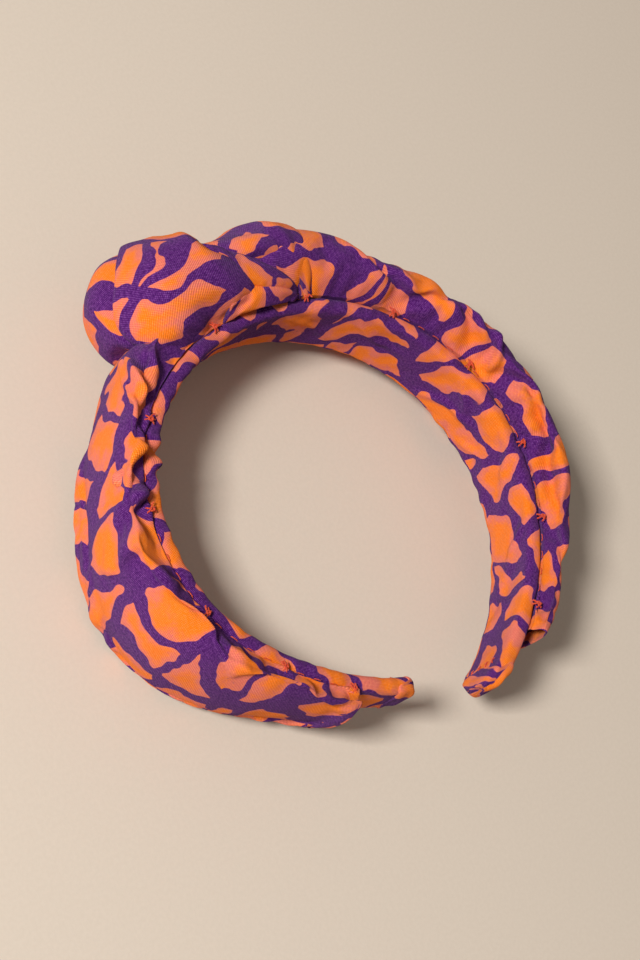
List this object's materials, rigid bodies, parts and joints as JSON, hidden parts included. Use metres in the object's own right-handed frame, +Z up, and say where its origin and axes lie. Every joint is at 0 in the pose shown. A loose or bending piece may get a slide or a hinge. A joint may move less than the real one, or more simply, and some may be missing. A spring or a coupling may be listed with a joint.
{
  "type": "knotted headband",
  "caption": "Padded turban-knot headband in printed cloth on a sprung plastic band, open at the back and lying on its side.",
  "frame": {"origin": "under the middle of the part's box, on the surface that the headband lies on", "axes": "+Z up across the band's width, +Y towards the crown and its knot, +X towards the arm opposite the knot's tall end"},
  "size_m": [0.168, 0.1655, 0.0479],
  "materials": {
    "printed_fabric": "plain-weave cotton, purple ground with orange shapes, matt",
    "lining_fabric": "the same printed plain-weave cotton, matt",
    "thread": "twisted orange-red sewing thread",
    "band_plastic": "moulded, slightly translucent white",
    "foam": "thin open-cell foam strip",
    "wadding": "loose polyester fibre"
  },
  "bodies": {
    "crown": {"band_core": "band_plastic", "comfort_foam": "foam", "lining": "lining_fabric", "knot_wadding": "wadding", "knot_under_loop": "printed_fabric", "knot_left_tuck": "printed_fabric", "knot_over_loop": "printed_fabric", "knot_upper_strand": "printed_fabric", "knot_lower_strand": "printed_fabric", "knot_tacks": "thread"},
    "left_arm": {"left_sleeve": "printed_fabric", "left_wadding": "wadding", "left_sleeve_hem": "printed_fabric", "left_tip_fold": "lining_fabric", "left_edge_tacks": "thread", "left_seam_stitches": "thread", "left_tip_stitches": "thread"},
    "right_arm": {"right_sleeve": "printed_fabric", "right_wadding": "wadding", "right_sleeve_hem": "printed_fabric", "right_tip_fold": "lining_fabric", "right_edge_tacks": "thread", "right_seam_stitches": "thread", "right_tip_stitches": "thread"}
  },
  "joints": [
    {"name": "left_flex", "type": "hinge", "parent": "crown", "child": "left_arm", "pos_m": [-0.04184, 0.0399, 0.0234], "axis": [0, 0, -1], "range_deg": [-3, 20], "stiffness_Nm_per_rad": 0.6, "deforming": ["band_core", "comfort_foam", "lining"]},
    {"name": "right_flex", "type": "hinge", "parent": "crown", "child": "right_arm", "pos_m": [0.03463, 0.04272, 0.0234], "axis": [0, 0, 1], "range_deg": [-3, 20], "stiffness_Nm_per_rad": 0.6, "deforming": ["band_core", "comfort_foam", "lining"]}
  ]
}
